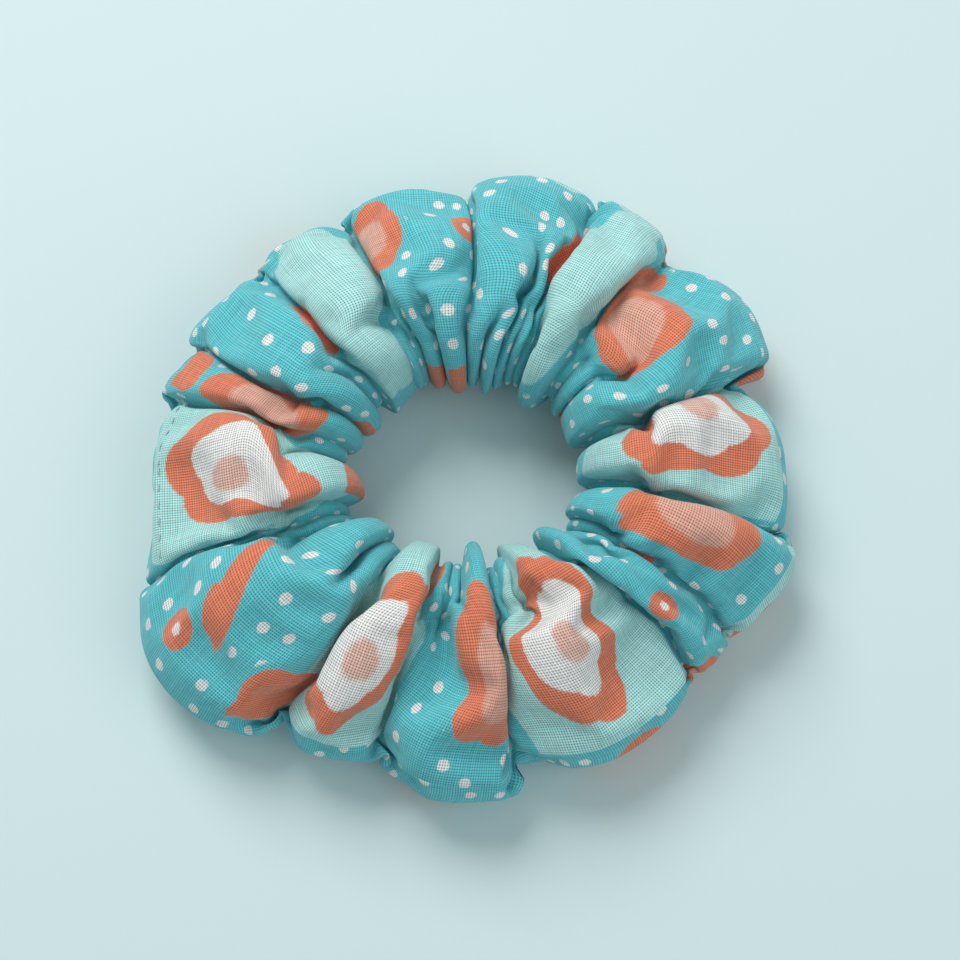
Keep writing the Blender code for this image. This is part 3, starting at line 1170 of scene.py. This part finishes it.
def printed_colour(graph, place, ragged):
    """The ground and its dots, and the four inks over them."""
    dot = printed_dots(graph, place, ragged)

    def ink(name, softness=SOFT):
        inside = graph.math("ADD", graph.attribute(name), ragged)
        return graph.ramp(inside, -softness, softness)

    shade = graph.mix(dot, TEAL, WHITE)
    shade = graph.mix(ink("mint"), shade, MINT)
    shade = graph.mix(ink("coral"), shade, CORAL)
    shade = graph.mix(ink("white"), shade, WHITE)
    return graph.mix(graph.math("MULTIPLY", ink("pink", PINK_SOFT), PINK_COVER), shade, PINK)


def printed_cotton():
    """Plain-weave cotton printed with dots, clouds and blossoms in four inks on a teal ground."""
    graph = Graph("printed_cotton")
    along, over = graph.cloth_place()
    place = graph.vector(along, over)
    warp = graph.math("DIVIDE", along, YARN_PITCH)
    weft = graph.math("DIVIDE", over, YARN_PITCH)
    height, gap = plain_weave(graph, warp, weft)
    shade = printed_colour(graph, place, yarn_raggedness(graph, warp, weft))

    # Slubs: each yarn's brightness wanders along its length. Painted light: each yarn is painted
    # lighter on its crown and darker down its sides, and the gaps between the yarns are painted dark
    # as shade.
    slub = graph.math("ADD", graph.streaks(along, over, 0.0), graph.streaks(over, along, 7.0))
    light = graph.ramp(slub, 0.7, 1.3, 0.92, 1.12)
    slub_and_painted_yarn_light = graph.math("MULTIPLY", light, graph.math("MULTIPLY_ADD", height, 0.42, 0.78))
    painted_gap_shade = graph.math("SUBTRACT", 1.0, graph.math("MULTIPLY", gap, 0.70))
    factor = graph.math("MULTIPLY", slub_and_painted_yarn_light, painted_gap_shade)
    slub_and_painted_weave_light = graph.node("CombineColor", Red=factor, Green=factor, Blue=factor)
    shade = graph.mix(1.0, shade, slub_and_painted_weave_light.outputs[0], "MULTIPLY")

    graph.surface(shade, graph.ramp(slub, 0.7, 1.3, 0.95, 0.80), sheen=0.25)
    graph.put(graph.shader.inputs["Specular IOR Level"], 0.25)
    graph.put(graph.shader.inputs["Sheen Roughness"], 0.5)
    fuzz = graph.noise(place, 3.0, 4.0)
    relief = graph.math("MULTIPLY_ADD", fuzz, 0.35, height)
    graph.bump(relief, 0.10 * MM, 0.8)
    return graph.material


def spun_thread(name, base):
    """Twisted thread: fine slanting ply, matt, with a little sheen."""
    graph = Graph(name)
    twist = graph.waves("DIAGONAL", 0.5, 1.5)
    # Painted shade: the thread is painted darker in the grooves of its twist, where the ply bands dip.
    painted_ply_shade = tuple(0.6 * value for value in base[:3]) + (1.0,)
    graph.surface(graph.mix(twist, painted_ply_shade, base), graph.ramp(twist, 0.0, 1.0, 0.75, 0.55), sheen=0.3)
    graph.bump(twist, 0.05 * MM, 0.6)
    return graph.material


def braided_elastic():
    """White braided elastic: crossing bands of fine yarn over the ribs."""
    graph = Graph("braided_elastic")
    crossing = [graph.waves(direction, 1.6, 0.6) for direction in ("DIAGONAL", "Z")]
    braid = graph.math("MAXIMUM", *crossing)
    # Painted shade: the braid is painted grey where its bands dip and near white on their tops.
    shade = graph.mix(braid, colour(190, 190, 186), colour(240, 240, 236))
    graph.surface(shade, graph.ramp(braid, 0.0, 1.0, 0.85, 0.6))
    graph.bump(braid, 0.12 * MM, 0.7)
    return graph.material


# ---- floor, lights and camera ----


def aim(obj, target):
    obj.rotation_euler = (Vector(target) - obj.location).to_track_quat("-Z", "Y").to_euler()


def add_floor():
    floor = add_object("floor", square_mesh("floor", 1.5))
    graph = Graph("pale_floor")
    graph.surface(colour(214, 232, 233), 0.6)
    floor.data.materials.append(graph.material)


def add_area_light(name, place, size, power, tint):
    light = bpy.data.lights.new(name, "AREA")
    light.shape = "DISK"
    light.size = size
    light.energy = power
    light.color = tint
    obj = add_object(name, light)
    obj.location = place
    aim(obj, (0.0, 0.0, 0.0))


def add_lights():
    add_area_light("window", (-0.35, 0.75, 0.85), 0.75, 10.2, (1.0, 0.99, 0.97))
    add_area_light("fill", (0.70, -0.40, 0.80), 1.00, 2.8, (0.93, 0.98, 1.0))
    world = bpy.data.worlds.new("studio")
    bpy.context.scene.world = world
    world.use_nodes = True
    background = world.node_tree.nodes["Background"]
    background.inputs["Color"].default_value = (0.80, 0.90, 0.92, 1.0)
    background.inputs["Strength"].default_value = 0.40


def add_camera():
    """Looks down at 75 degrees from the front, with the ring filling two thirds of the frame."""
    camera = bpy.data.cameras.new("camera")
    obj = add_object("camera", camera)
    elevation = math.radians(75)
    distance = 0.62
    frame_width = 0.1640
    camera.lens = camera.sensor_width * distance / frame_width
    target = Vector((0.0022, 0.0005, 0.010))
    back = Vector((0.0, -math.cos(elevation), math.sin(elevation)))
    obj.location = target + back * distance
    aim(obj, target)
    bpy.context.scene.camera = obj


# ---- the scene ----


def main():
    start = folded_cover()
    settled = settle_cloth(start)
    surface = refined(refined(settled, 0), 1)
    cuts = cut_columns(surface)
    cut_ends = [surface[cut % len(surface)] for cut in cuts]
    bands = valley_bands(zip(cut_ends[:-1], cut_ends[1:]))
    cloth = Cloth(surface, grid_normals(surface), cuts, bands)

    aqua_thread = spun_thread("aqua_thread", colour(190, 226, 226))
    add_cover(cloth, printed_cotton())
    add_elastic(braided_elastic())
    add_seam_thread(cloth, aqua_thread)
    add_cross_seam(cloth, aqua_thread)
    add_closing_stitch(cloth, aqua_thread)
    colour_join_stitch(spun_thread("white_thread", colour(238, 238, 235)))

    add_floor()
    add_lights()
    add_camera()
    bpy.context.scene.view_settings.view_transform = "Standard"


main()
